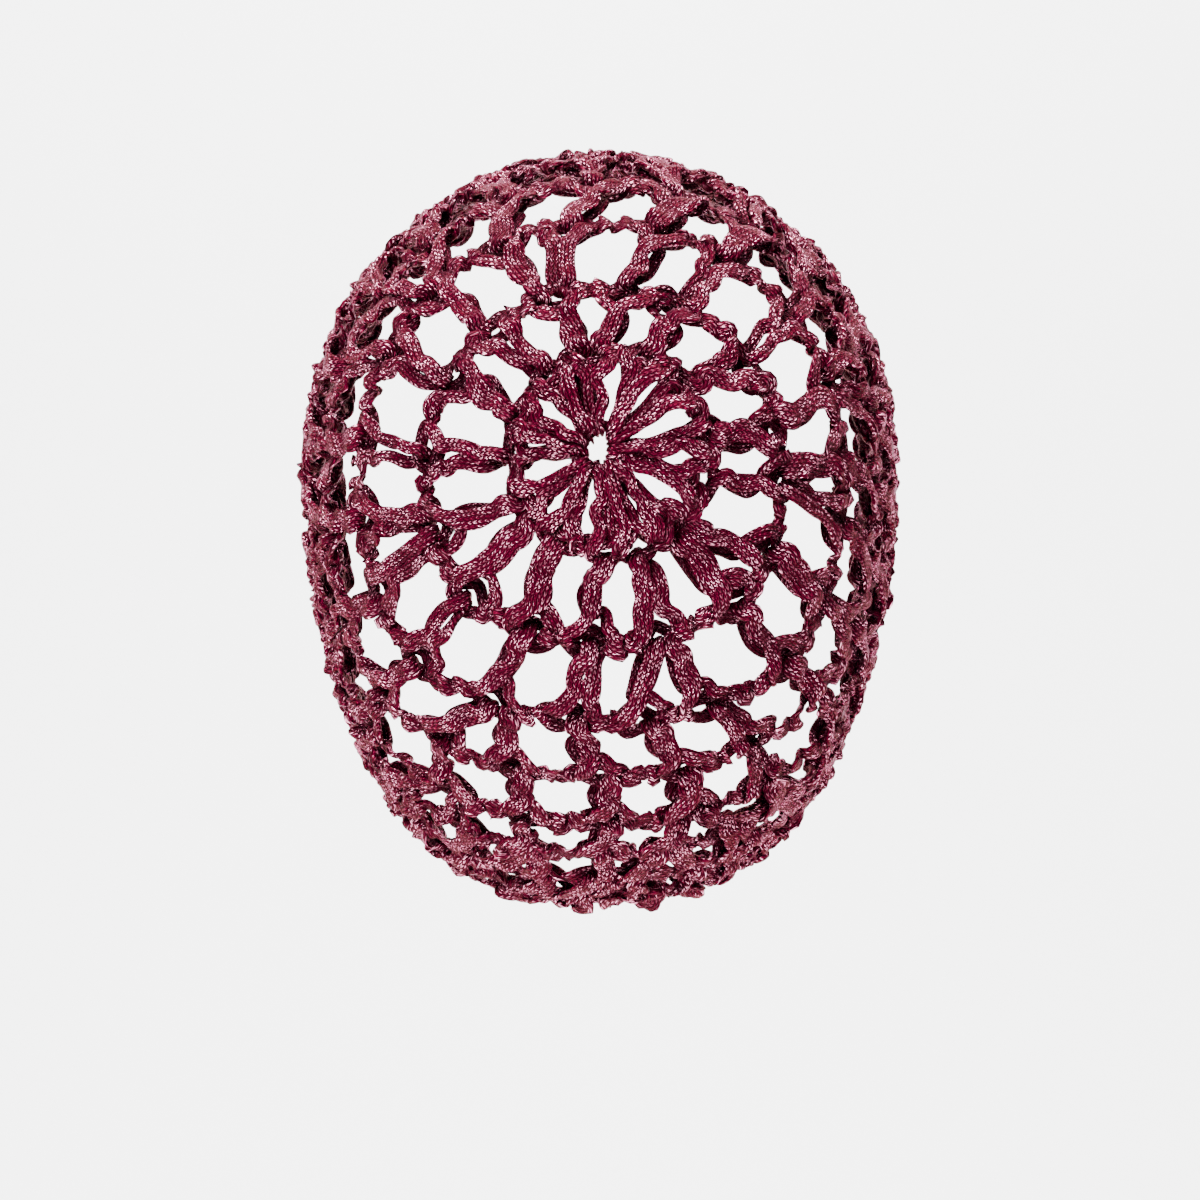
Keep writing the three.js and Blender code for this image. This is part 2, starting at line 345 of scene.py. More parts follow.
class SnoodRibbon(bpy.types.PropertyGroup):
    """The knitted ribbon and how it is worked"""

    width: FloatProperty(
        name="Ribbon width",
        description="Width of the ribbon where it lies flat",
        default=5.6 * MM,
        unit="LENGTH",
    )
    thickness: FloatProperty(
        name="Ribbon thickness",
        description="Thickness of the ribbon where it lies flat",
        default=1.7 * MM,
        unit="LENGTH",
    )
    column_width: FloatProperty(
        name="Knit column width",
        description="Width of one column of V stitches across the ribbon",
        default=1.1 * MM,
        unit="LENGTH",
    )
    stitch_length: FloatProperty(
        name="Knit stitch length",
        description="Length of one knitted stitch along the ribbon",
        default=1.5 * MM,
        unit="LENGTH",
    )
    chain_width: FloatProperty(
        name="Chain width",
        description="Width of the chain that closes each round",
        default=5.0 * MM,
        unit="LENGTH",
    )
    looseness: FloatProperty(
        name="Looseness",
        description="How far the ribbon strays from its even place",
        default=0.65 * MM,
        unit="LENGTH",
    )
    seed: IntProperty(name="Seed", description="Pattern of the small irregularities", default=7)
    # painted shade: a near-black colour painted into the grooves between the knitted stitches,
    # standing in for the shade there
    crevice_shade_colour: FloatVectorProperty(
        name="Deep colour",
        description="Colour between the knitted stitches",
        default=(0.004, 0.0001, 0.001),
        subtype="COLOR",
    )
    wine_colour: FloatVectorProperty(
        name="Wine colour",
        description="Colour of the ribbon",
        default=(0.102, 0.001, 0.017),
        subtype="COLOR",
    )
    # painted highlight: a pink-white colour painted on the crests of the stitches where they glint
    painted_highlight_colour: FloatVectorProperty(
        name="Bright colour",
        description="Colour on the crests of the stitches",
        default=(1.0, 0.37, 0.52),
        subtype="COLOR",
    )


class SnoodStage(bpy.types.PropertyGroup):
    """The camera, the floor and the light"""

    view_distance: FloatProperty(
        name="View distance",
        description="From the camera to the snood's widest outline",
        default=0.9,
        unit="LENGTH",
    )
    view_field: FloatProperty(
        name="View field",
        description="Width of what the camera sees at the snood's widest outline",
        default=0.3432,
        unit="LENGTH",
    )
    view_drop: FloatProperty(
        name="View drop",
        description="How far the camera's axis passes below the rosette's middle",
        default=38.5 * MM,
        unit="LENGTH",
    )
    outline_depth: FloatProperty(
        name="Outline depth",
        description="From the rosette forwards to the outline that the camera sees",
        default=90 * MM,
        unit="LENGTH",
    )
    floor_drop: FloatProperty(
        name="Floor drop",
        description="From the snood's lowest point down to the floor",
        default=0.30,
        unit="LENGTH",
    )
    floor_colour: FloatVectorProperty(
        name="Floor colour",
        description="Colour of the floor and of the wall that it curves into",
        default=(0.95, 0.95, 0.95),
        subtype="COLOR",
    )


def smooth_table(around, column):
    """Values of a RIM column in any direction, by a smooth curve through its rows"""
    folded = np.abs((np.asarray(around, float) + 180) % 360 - 180)
    places = np.array(RIM_AROUND, float)
    values = np.array(column, float)
    wide_places = np.concatenate([[-places[1]], places, [360 - places[-2]]])
    wide_values = np.concatenate([[values[1]], values, [values[-2]]])
    slopes = (wide_values[2:] - wide_values[:-2]) / (wide_places[2:] - wide_places[:-2])
    row = np.clip(np.searchsorted(places, folded, side="right") - 1, 0, len(places) - 2)
    gap = places[row + 1] - places[row]
    s = (folded - places[row]) / gap
    start = (2 * s**3 - 3 * s**2 + 1) * values[row] + (s**3 - 2 * s**2 + s) * gap * slopes[row]
    end = (3 * s**2 - 2 * s**3) * values[row + 1] + (s**3 - s**2) * gap * slopes[row + 1]
    return start + end


class WornNet:
    """The worn net's surface: directions are degrees from the crown, lengths are metres
    along the net from the rosette's middle"""

    def __init__(self, form, ribbon):
        self.form = form
        self.ribbon = ribbon

    def outline(self, around):
        """Distance from the rosette's axis to the widest section's outline"""
        form = self.form
        across = np.abs(np.sin(np.radians(around)))
        along = np.cos(np.radians(around))
        height = np.where(along >= 0, form.crown_height, form.nape_drop)
        power = np.where(along >= 0, form.crown_roundness, form.nape_roundness)
        total = (across / form.half_width) ** power + (np.abs(along) / height) ** power
        return total ** (-1 / power)

    def meridians(self, around):
        """Turns, and lengths to them, along one meridian for each direction"""
        radius = self.outline(around)[:, None]
        turns = np.radians(smooth_table(around, RIM_TURN))[:, None]
        steps = turns * np.linspace(0, PAST_RIM, SAMPLES_ALONG_MERIDIAN + 1)[None]
        speed = np.hypot(radius * np.cos(steps), self.form.back_depth * np.sin(steps))
        pieces = (speed[:, 1:] + speed[:, :-1]) / 2 * np.diff(steps, axis=1)
        lengths = np.concatenate([np.zeros((len(pieces), 1)), np.cumsum(pieces, axis=1)], axis=1)
        return steps, lengths

    def rim_length(self, around):
        """Length of the net from the rosette's middle to the rim"""
        steps, lengths = self.meridians(around)
        rim = np.radians(smooth_table(around, RIM_TURN))
        return np.array([np.interp(r, s, l) for r, s, l in zip(rim, steps, lengths)])

    def turn_at(self, around, length):
        """Turn away from the rosette's axis at a length along the net"""
        steps, lengths = self.meridians(around)
        return np.array([np.interp(v, l, s) for v, l, s in zip(length, lengths, steps)])

    def round_end(self, around, reach):
        """Length at which a round ends; the rosette's is at reach 0"""
        form = self.form
        shift = form.rosette_shift * np.cos(np.radians(around - SEAM_ANGLE)) * (1 - reach) ** 3
        share = reach ** smooth_table(around, RIM_CROWDING)
        way = self.rim_length(around) - form.rosette_radius
        return form.rosette_radius + way * share + shift

    def chain_line(self, around, reach):
        """Length to the middle of the chain that closes a round"""
        return self.round_end(around, reach) - self.ribbon.chain_width / 2

    def place(self, around, length, out):
        """Points out from the inner face, with the net's outward direction there"""
        form = self.form
        angle = np.radians(around)
        turn = self.turn_at(around, length)
        radius = self.outline(around)
        step = 0.01
        growth = self.outline(around + step) - self.outline(around - step)
        growth = growth / (2 * math.radians(step))
        sideways = np.stack(
            [
                growth * np.sin(angle) + radius * np.cos(angle),
                np.zeros_like(angle),
                growth * np.cos(angle) - radius * np.sin(angle),
            ],
            axis=1,
        )
        forwards = np.stack(
            [
                radius * np.cos(turn) * np.sin(angle),
                form.back_depth * np.sin(turn),
                radius * np.cos(turn) * np.cos(angle),
            ],
            axis=1,
        )
        outwards = np.cross(sideways, forwards)
        outwards /= np.linalg.norm(outwards, axis=1, keepdims=True)
        points = np.stack(
            [
                radius * np.sin(turn) * np.sin(angle),
                -form.back_depth * np.cos(turn),
                radius * np.sin(turn) * np.cos(angle) - form.crown_height,
            ],
            axis=1,
        )
        return points + outwards * np.asarray(out)[:, None], outwards

    def degree_width(self, around, length):
        """Metres that one degree covers sideways"""
        zero = np.zeros_like(length)
        left, _ = self.place(around - 0.5, length, zero)
        right, _ = self.place(around + 0.5, length, zero)
        return np.linalg.norm(right - left, axis=1)


def post_angles(work):
    """Directions of a round's post tops, closer together at the seam and the nape"""
    number = np.arange(work["posts"])
    pitch = 360 / work["posts"]
    even = work["start"] + pitch * number
    uneven = UNEVENNESS * pitch * np.sin(UNEVEN_TURN * (number + work["posts"]) ** 2)
    to_seam = SEAM_CROWDING * np.sin(np.radians(even - SEAM_ANGLE))
    to_nape = work.get("gather", NAPE_CROWDING) * np.sin(np.radians(even - NAPE_ANGLE))
    return even + uneven - np.degrees(to_seam + to_nape)


def post_feet(net, work, before):
    """Directions of the posts' feet: each stands on the nearest post of the round
    before, and two that share one stand side by side"""
    tops = post_angles(work)
    ways = (post_angles(before)[None] - tops[:, None] + 180) % 360 - 180
    parents = np.abs(ways).argmin(axis=1)
    feet = tops + ways[np.arange(len(tops)), parents]
    length = net.round_end(feet, before["reach"])
    spread = TWIN_SPREAD / net.degree_width(feet, length)
    left_twin = parents == np.roll(parents, 1)
    right_twin = parents == np.roll(parents, -1)
    return feet + spread * left_twin - spread * right_twin


def stitch_controls(net, work, charts, foot_angles, foot_line, rng):
    """The ribbon's control points for a whole round, each stitch from one of the charts"""
    count = work["posts"]
    chosen = rng.integers(len(charts), size=count + 1)
    rows = np.array(charts, float)[chosen]
    cells = np.repeat(np.arange(count + 1), rows.shape[1])[: count * rows.shape[1] + 3]
    span, side, up, out, twist, width = rows.reshape(-1, rows.shape[2])[: len(cells)].T
    tops = post_angles(work)
    tops = np.concatenate([tops, tops[:2] + 360])
    feet = np.concatenate([foot_angles, foot_angles[:2] + 360])
    height = np.clip(up, 0, 1)
    line = feet[cells] + (tops[cells] - feet[cells]) * height
    following = np.minimum(cells + 1, len(tops) - 1)
    next_line = feet[following] + (tops[following] - feet[following]) * height
    around = line + (next_line - line) * span
    stray = rng.normal(0, 1, (len(cells), 5))
    cell_stray = rng.normal(0, 1, (count + 1, 3))[cells]
    loose = net.ribbon.looseness
    # a stitch leans more to one side the further up it is
    lean = (2.4 * up - 0.2) * (span == 0)
    side = side * MM + loose * (STRAY_SIDE * stray[:, 0] + lean * cell_stray[:, 0])
    out = out * MM + loose * STRAY_OUT * stray[:, 1]
    start = foot_line(around)
    end = net.chain_line(around, work["reach"])
    along_stray = STRAY_ALONG * stray[:, 2] + STRAY_STITCH * cell_stray[:, 1]
    length = start + (end - start) * up + loose * along_stray
    around = around + side / net.degree_width(around, length)
    points, outwards = net.place(around, length, np.maximum(out, LEAST_OUT))
    twist = twist + STRAY_TWIST * stray[:, 3]
    # each stitch is worked a little tighter or looser, and a slim ribbon folds more
    slim = 0.93 + 0.13 * cell_stray[:, 2]
    width = width * np.where(width > 0.75, np.clip(slim, 0.72, 1.08), 1)
    width = width * np.clip(1 + STRAY_WIDTH * stray[:, 4], 0.8, 1.25)
    # painted shade: a ribbon that lies further in is painted darker, and glints less
    painted_shade = np.clip(out / (4 * MM), 0, 1)
    fold = np.clip(1.35 - width + 0.2 * rng.normal(0, 1, len(width)), 0, 0.8)
    return points, outwards, np.stack([twist, width, painted_shade, fold], axis=1)


def smooth_path(points, values, step):
    """Even samples of a smooth curve through points, with values carried along"""
    data = np.concatenate([points, values], axis=1)
    data = np.concatenate([2 * data[:1] - data[1:2], data, 2 * data[-1:] - data[-2:-1]])
    gaps = np.linalg.norm(np.diff(data[:, :3], axis=0), axis=1)
    times = np.concatenate([[0], np.cumsum(np.sqrt(np.maximum(gaps, 1e-5)))])
    made = []
    for i in range(1, len(data) - 2):
        count = max(2, int(round(gaps[i] / step)))
        t = times[i] + (times[i + 1] - times[i]) * np.arange(count)[:, None] / count
        t0, t1, t2, t3 = times[i - 1 : i + 3]
        p0, p1, p2, p3 = data[i - 1 : i + 3]
        a1 = (t1 - t) / (t1 - t0) * p0 + (t - t0) / (t1 - t0) * p1
        a2 = (t2 - t) / (t2 - t1) * p1 + (t - t1) / (t2 - t1) * p2
        a3 = (t3 - t) / (t3 - t2) * p2 + (t - t2) / (t3 - t2) * p3
        b1 = (t2 - t) / (t2 - t0) * a1 + (t - t0) / (t2 - t0) * a2
        b2 = (t3 - t) / (t3 - t1) * a2 + (t - t1) / (t3 - t1) * a3
        made.append((t2 - t) / (t2 - t1) * b1 + (t - t1) / (t2 - t1) * b2)
    made.append(data[-2:-1])
    made = np.concatenate(made)
    return made[:, :3], made[:, 3:]


def ribbon_directions(points, outwards, twist):
    """Across and flat directions of a ribbon that lies as flat on the net as its turns
    let it, then twisted about its own line"""
    tangents = np.gradient(points, axis=0)
    tangents /= np.linalg.norm(tangents, axis=1, keepdims=True)
    wanted = np.cross(outwards, tangents)
    across = np.empty_like(points)
    now = wanted[0] / np.linalg.norm(wanted[0])
    for i, tangent in enumerate(tangents):
        now = now - tangent * (now @ tangent)
        now = now / math.sqrt(now @ now)
        pull = wanted[i] if wanted[i] @ now > 0 else -wanted[i]
        now = now + EASE * pull
        now = now / math.sqrt(now @ now)
        across[i] = now
    across -= tangents * np.sum(across * tangents, axis=1, keepdims=True)
    across /= np.linalg.norm(across, axis=1, keepdims=True)
    flat = np.cross(tangents, across)
    angle = np.radians(twist)[:, None]
    turned = across * np.cos(angle) + flat * np.sin(angle)
    return turned, np.cross(tangents, turned)


def centre_ring(net, rng):
    """The ring of ribbon that the petals are worked round, as controls"""
    around = np.arange(RING_START, 1, RING_STEP)
    stray = rng.normal(0, net.ribbon.looseness * RING_STRAY, (len(around), 2))
    length = net.form.rosette_foot + stray[:, 0]
    points, outwards = net.place(around, length, RING_OUT + stray[:, 1])
    values = np.tile(RING_VALUES, (len(around), 1))
    return points, outwards, values


def ribbon_rail(name, points, outwards, values, ribbon):
    """A mesh of edges along the ribbon's middle, with its directions and sizes stored"""
    path, carried = smooth_path(points, np.concatenate([outwards, values], axis=1), STEP)
    normal = carried[:, :3] / np.linalg.norm(carried[:, :3], axis=1, keepdims=True)
    twist, width, painted_shade, fold = carried[:, 3:].T
    across, flat = ribbon_directions(path, normal, twist)
    width = np.clip(width, 0.3, 1.3)
    ends = np.minimum(np.arange(len(path)), np.arange(len(path))[::-1])
    taper = np.sqrt(np.clip(ends / 3, 0, 1))
    half_width = ribbon.width / 2 * width * taper
    # where the ribbon is drawn narrow it bunches up thicker
    half_thickness = ribbon.thickness / 2 * width**-0.9 * taper
    mesh = bpy.data.meshes.new(name)
    edges = np.stack([np.arange(len(path) - 1), np.arange(1, len(path))], axis=1)
    mesh.from_pydata(path.tolist(), edges.tolist(), [])
    for label, value in (("across", across), ("flat", flat)):
        layer = mesh.attributes.new(label, "FLOAT_VECTOR", "POINT")
        layer.data.foreach_set("vector", value.astype(np.float32).ravel())
    sizes = {
        "half_width": half_width,
        "half_thickness": half_thickness,
        "painted_shade": painted_shade,
        "fold": fold,
    }
    for label, value in sizes.items():
        layer = mesh.attributes.new(label, "FLOAT", "POINT")
        layer.data.foreach_set("value", value.astype(np.float32))
    rail = bpy.data.objects.new(name, mesh)
    bpy.context.scene.collection.objects.link(rail)
    return rail


class Wired:
    """A node socket that takes part in Python expressions"""

    def __init__(self, board, socket):
        self.board = board
        self.socket = socket

    def maths(self, operation, *others):
        return self.board.add(
            "ShaderNodeMath", {"operation": operation}, dict(enumerate((self,) + others))
        )

    def __add__(self, other):
        return self.maths("ADD", other)

    def __radd__(self, other):
        return self.maths("ADD", other)

    def __sub__(self, other):
        return self.maths("SUBTRACT", other)

    def __rsub__(self, other):
        return self.board.number(other).maths("SUBTRACT", self)

    def __mul__(self, other):
        return self.maths("MULTIPLY", other)

    def __rmul__(self, other):
        return self.maths("MULTIPLY", other)

    def __truediv__(self, other):
        return self.maths("DIVIDE", other)

    def __pow__(self, other):
        return self.maths("POWER", other)

    def __abs__(self):
        return self.maths("ABSOLUTE")

    def sine(self):
        return self.maths("SINE")

    def cosine(self):
        return self.maths("COSINE")

    def sign(self):
        return self.maths("SIGN")

    def floor(self):
        return self.maths("FLOOR")

    def fraction(self):
        return self.maths("FRACT")


class Board:
    """Adds nodes to one tree"""

    def __init__(self, tree):
        self.tree = tree

    def node(self, kind, settings=None, values=None):
        """A new node: its settings first, then the values or links of its sockets"""
        made = self.tree.nodes.new(kind)
        for name, value in (settings or {}).items():
            setattr(made, name, value)
        for name, value in (values or {}).items():
            if isinstance(value, Wired):
                self.tree.links.new(value.socket, made.inputs[name])
            else:
                made.inputs[name].default_value = value
        return made

    def add(self, kind, settings=None, values=None, output=0):
        """One output of a new node, to go on with in an expression"""
        return Wired(self, self.node(kind, settings, values).outputs[output])

    def mixed(self, factor, first, second):
        """A colour between two others, by sockets or plain colours"""
        values = {0: factor}
        for place, colour in ((6, first), (7, second)):
            values[place] = colour if isinstance(colour, Wired) else (*colour, 1)
        return self.add("ShaderNodeMix", {"data_type": "RGBA"}, values, output=2)

    def number(self, value):
        """A plain number as a socket, for what is taken from it"""
        return self.add("ShaderNodeMath", {"operation": "ADD"}, {0: value, 1: 0.0})


def ribbon_tree():
    """Geometry Nodes that sweep a flat ribbon along a stored rail"""
    tree = bpy.data.node_groups.new("Sweep Ribbon", "GeometryNodeTree")
    sockets = tree.interface
    sockets.new_socket("Rail", in_out="INPUT", socket_type="NodeSocketGeometry")
    sockets.new_socket("Sides", in_out="INPUT", socket_type="NodeSocketInt")
    sockets.new_socket("Column Width", in_out="INPUT", socket_type="NodeSocketFloat")
    sockets.new_socket("Stitch Length", in_out="INPUT", socket_type="NodeSocketFloat")
    sockets.new_socket("Material", in_out="INPUT", socket_type="NodeSocketMaterial")
    sockets.new_socket("Ribbon", in_out="OUTPUT", socket_type="NodeSocketGeometry")
    board = Board(tree)
    given = board.node("NodeGroupInput")
    inputs = {socket.name: Wired(board, socket) for socket in given.outputs if socket.name}

    def named(label, kind):
        return board.add("GeometryNodeInputNamedAttribute", {"data_type": kind}, {"Name": label})

    def store(geometry, label, kind, domain, value):
        return board.add(
            "GeometryNodeStoreNamedAttribute",
            {"data_type": kind, "domain": domain},
            {"Geometry": geometry, "Name": label, "Value": value},
        )

    def scaled(vector, factor):
        return board.add(
            "ShaderNodeVectorMath", {"operation": "SCALE"}, {0: vector, "Scale": factor}
        )

    def summed(first, second):
        return board.add("ShaderNodeVectorMath", {"operation": "ADD"}, {0: first, 1: second})

    rail = board.add("GeometryNodeMeshToCurve", None, {"Mesh": inputs["Rail"]})
    rail = store(rail, "rail", "FLOAT_VECTOR", "POINT", board.add("GeometryNodeInputPosition"))
    length = board.add("GeometryNodeSplineParameter", output="Length")
    rail = store(rail, "along", "FLOAT", "POINT", length)
    section = board.add(
        "GeometryNodeCurveArc",
        {"mode": "RADIUS"},
        {
            "Resolution": inputs["Sides"] + 1,
            "Radius": 1.0,
            "Start Angle": 0.0,
            "Sweep Angle": math.tau,
        },
    )
    factor = board.add("GeometryNodeSplineParameter", output="Factor")
    section = store(section, "section", "FLOAT", "POINT", factor)
    swept = board.add("GeometryNodeCurveToMesh", None, {"Curve": rail, "Profile Curve": section})
    # a flat oval section, creased along its middle where the ribbon is folded
    angle = named("section", "FLOAT") * math.tau
    breadth = angle.cosine().sign() * abs(angle.cosine()) ** 0.92
    crease = 1 - named("fold", "FLOAT") * (1 - abs(angle.cosine())) ** 2
    depth = angle.sine().sign() * abs(angle.sine()) ** 0.75 * crease
    shift = summed(
        scaled(named("across", "FLOAT_VECTOR"), breadth * named("half_width", "FLOAT")),
        scaled(named("flat", "FLOAT_VECTOR"), depth * named("half_thickness", "FLOAT")),
    )
    placed = board.add(
        "GeometryNodeSetPosition",
        None,
        {"Geometry": swept, "Position": summed(named("rail", "FLOAT_VECTOR"), shift)},
    )
    # knitted columns run across the front and on across the back
    front = named("section", "FLOAT").maths("LESS_THAN", 0.5)
    reach = named("half_width", "FLOAT") / inputs["Column Width"]
    column = front * (0 - breadth) + (1 - front) * (2 + breadth)
    row = named("along", "FLOAT") / inputs["Stitch Length"]
    knit = board.add("ShaderNodeCombineXYZ", None, {"X": row, "Y": column * reach + 0.5})
    mapped = store(placed, "knit", "FLOAT2", "CORNER", knit)
    joined = board.add(
        "GeometryNodeMergeByDistance", None, {"Geometry": mapped, "Distance": 0.002 * MM}
    )
    smooth = board.add("GeometryNodeSetShadeSmooth", None, {"Geometry": joined})
    real = board.add("GeometryNodeRealizeInstances", None, {"Geometry": smooth})
    finished = board.add(
        "GeometryNodeSetMaterial", None, {"Geometry": real, "Material": inputs["Material"]}
    )
    board.node("NodeGroupOutput", None, {"Ribbon": finished})
    return tree


def ribbon_material(ribbon):
    """Shiny rayon, knitted in fine columns of V stitches"""
    made = bpy.data.materials.get("Knitted rayon ribbon")
    if made:
        return made
    made = bpy.data.materials.new("Knitted rayon ribbon")
    made.use_nodes = True
    made.node_tree.nodes.clear()
    board = Board(made.node_tree)
    # V stitches: each column's height falls off to its sides, where its rows bend back
    knit = board.add("ShaderNodeUVMap", {"uv_map": "knit"})
    parts = board.node("ShaderNodeSeparateXYZ", None, {0: knit})
    along = Wired(board, parts.outputs["X"])
    column = Wired(board, parts.outputs["Y"])
    offset = abs(column.fraction() - 0.5) * 2
    row = along + column.floor() * 0.5 - offset * 0.6
    ridge = 1 - offset * offset * offset
    split = 0.7 + 0.3 * (offset * 3).maths("MINIMUM", 1.0)
    bead = (row * math.tau).cosine() * 0.5 + 0.5
    height = ridge * split * (bead * 0.7 + 0.3)
    # painted highlight: by chance, and more in patches, each half of a stitch is painted in the
    # bright colour as if it caught the light
    side = (column * 2).floor()
    cell = board.add("ShaderNodeCombineXYZ", None, {"X": row.floor(), "Y": side})
    chance = board.add("ShaderNodeTexWhiteNoise", {"noise_dimensions": "2D"}, {"Vector": cell})
    # the painted shade stored on the ribbon: 0 deep in the crochet, 1 on top
    painted_shade = board.add("ShaderNodeAttribute", {"attribute_name": "painted_shade"}, output="Fac")
    place = board.add("ShaderNodeTexCoord", output="Object")
    cloud = board.add("ShaderNodeTexNoise", None, {"Vector": place, "Scale": 90.0, "Detail": 2.0})
    patch = board.add("ShaderNodeTexNoise", None, {"Vector": place, "Scale": 260.0, "Detail": 1.0})
    lit = ((patch - 0.44) * 12).maths("MAXIMUM", 0.14).maths("MINIMUM", 2.4)
    crest = ((height - 0.5) * 3.0).maths("MAXIMUM", 0.0)
    glint = crest * ((chance - 0.42) * 3.4).maths("MAXIMUM", 0.0) * lit
    glint = (glint * (0.25 + 0.75 * painted_shade)).maths("MINIMUM", 1.0)
    # painted shade: the grooves between stitches take the near-black colour, their crests the
    # ribbon's wine colour
    body = board.mixed(height, ribbon.crevice_shade_colour, ribbon.wine_colour)
    # painted highlight: the glinting crests take the bright colour
    colour = board.mixed(glint, body, ribbon.painted_highlight_colour)
    # painted shade: darker where the ribbon lies deep in the crochet; cloudy all over at random
    level = (painted_shade * 0.85 + 0.15) * (cloud * 0.6 + 0.7)
    tone = board.add("ShaderNodeVectorMath", {"operation": "SCALE"}, {0: colour, "Scale": level})
    bump = board.add(
        "ShaderNodeBump", None, {"Height": height, "Strength": 1.0, "Distance": 0.7 * MM}
    )
    shine = board.add(
        "ShaderNodeBsdfPrincipled",
        None,
        {
            "Base Color": tone,
            "Roughness": 0.42 - height * 0.2,
            "Metallic": glint * 0.35 + 0.62,
            "Normal": bump,
            "Specular IOR Level": 0.1,
            "Specular Tint": (0.66, 0.1, 0.31, 1),
        },
    )
    board.node("ShaderNodeOutputMaterial", None, {"Surface": shine})
    return made


def sweep_round(rail, piece_name, node, ribbon):
    """Sweeps the ribbon along a rail into a plain mesh that stands for a CAD node"""
    tree = bpy.data.node_groups.get("Sweep Ribbon") or ribbon_tree()
    modifier = rail.modifiers.new("Sweep Ribbon", "NODES")
    modifier.node_group = tree
    values = {
        "Sides": SECTION_SIDES,
        "Column Width": ribbon.column_width,
        "Stitch Length": ribbon.stitch_length,
        "Material": ribbon_material(ribbon),
    }
    for item in tree.interface.items_tree:
        if item.name in values:
            modifier[item.identifier] = values[item.name]
    bpy.context.view_layer.update()
    mesh = bpy.data.meshes.new_from_object(
        rail.evaluated_get(bpy.context.evaluated_depsgraph_get())
    )
    rail_mesh = rail.data
    rail.modifiers.remove(modifier)
    bpy.data.objects.remove(rail)
    bpy.data.meshes.remove(rail_mesh)
    for label in RAIL_VALUES:
        layer = mesh.attributes.get(label)
        if layer:
            mesh.attributes.remove(layer)
    mesh.name = piece_name
    piece = bpy.data.objects.new(piece_name, mesh)
    bpy.context.scene.collection.objects.link(piece)
    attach(piece, BODY)
    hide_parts(node)
    return piece


def crochet_round(scene, work, before, charts, number):
    """Works one round over the round before it, or over the centre ring"""
    ribbon = scene.snood_ribbon
    net = WornNet(scene.snood_form, ribbon)
    rng = np.random.default_rng(ribbon.seed * 100 + number)

    def foot_line(around):
        if before is None:
            return np.full_like(around, net.form.rosette_foot)
        return net.chain_line(around, before["reach"])

    feet = post_angles(work) if before is None else post_feet(net, work, before)
    controls = stitch_controls(net, work, charts, feet, foot_line, rng)
    if before is None:
        ring = centre_ring(net, rng)
        controls = [np.concatenate(pair) for pair in zip(ring, controls)]
    points, outwards, values = controls
    rail = ribbon_rail(work["node"] + "_rail", points, outwards, values, ribbon)
    return sweep_round(rail, work["node"] + "_ribbon", work["node"], ribbon)


class SNOOD_OT_rosette(bpy.types.Operator):
    """Work the rosette: long petals from the centre ring to the first chain"""

    bl_idname = "snood.rosette"
    bl_label = "Rosette"

    def execute(self, context):
        crochet_round(context.scene, ROSETTE, None, (PETAL,), 1)
        return {"FINISHED"}


class SNOOD_OT_open_rounds(bpy.types.Operator):
    """Work the open rounds of posts and chains"""

    bl_idname = "snood.open_rounds"
    bl_label = "Open rounds"

    def execute(self, context):
        before = ROSETTE
        for number, work in enumerate(OPEN_ROUNDS):
            crochet_round(context.scene, work, before, OPEN_CHARTS, 2 + number)
            before = work
        return {"FINISHED"}


class SNOOD_OT_dense_rounds(bpy.types.Operator):
    """Work the close rounds that gather the net"""

    bl_idname = "snood.dense_rounds"
    bl_label = "Dense rounds"

    def execute(self, context):
        before = OPEN_ROUNDS[-1]
        for number, work in enumerate(DENSE_ROUNDS):
            crochet_round(context.scene, work, before, (DENSE_STITCH,), 7 + number)
            before = work
        return {"FINISHED"}


class SNOOD_OT_rim_edge(bpy.types.Operator):
    """Work the last round along the rim"""

    bl_idname = "snood.rim_edge"
    bl_label = "Rim edge"

    def execute(self, context):
        crochet_round(context.scene, RIM_EDGE, DENSE_ROUNDS[-1], (DENSE_STITCH,), 9)
        return {"FINISHED"}


def plain_material(name, colour, roughness):
    """A matt finish in one colour, for the backdrop"""
    made = bpy.data.materials.new(name)
    made.use_nodes = True
    shader = made.node_tree.nodes["Principled BSDF"]
    shader.inputs["Base Color"].default_value = (*colour, 1)
    shader.inputs["Roughness"].default_value = roughness
    return made


def backdrop(stage, low):
    """A pale floor that curves up into a wall behind the snood"""
    floor = low - stage.floor_drop
    bend = BACKDROP_BEND
    floor_end = BACKDROP_FAR - bend
    profile = [(BACKDROP_NEAR, floor), (floor_end, floor)]
    for i in range(1, BEND_STEPS + 1):
        angle = math.pi / 2 * i / BEND_STEPS
        rise = bend - bend * math.cos(angle)
        profile.append((floor_end + bend * math.sin(angle), floor + rise))
    profile.append((BACKDROP_FAR, floor + BACKDROP_HEIGHT))
    sides = (-BACKDROP_HALF_WIDTH, BACKDROP_HALF_WIDTH)
    vertices = [(x, y, z) for y, z in profile for x in sides]
    faces = [(2 * i, 2 * i + 1, 2 * i + 3, 2 * i + 2) for i in range(len(profile) - 1)]
    mesh = bpy.data.meshes.new("backdrop")
    mesh.from_pydata(vertices, [], faces)
    mesh.shade_smooth()
    mesh.materials.append(plain_material("Pale paper", stage.floor_colour, 0.9))
    sheet = bpy.data.objects.new("backdrop", mesh)
    bpy.context.scene.collection.objects.link(sheet)


def soft_light(name, place, size, power, target):
    """A square area light that aims at a target"""
    lamp = bpy.data.lights.new(name, "AREA")
    lamp.shape = "SQUARE"
    lamp.size = size
    lamp.energy = power
    holder = bpy.data.objects.new(name, lamp)
    holder.location = place
    aim = Vector(target) - Vector(place)
    holder.rotation_euler = aim.to_track_quat("-Z", "Y").to_euler()
    bpy.context.scene.collection.objects.link(holder)


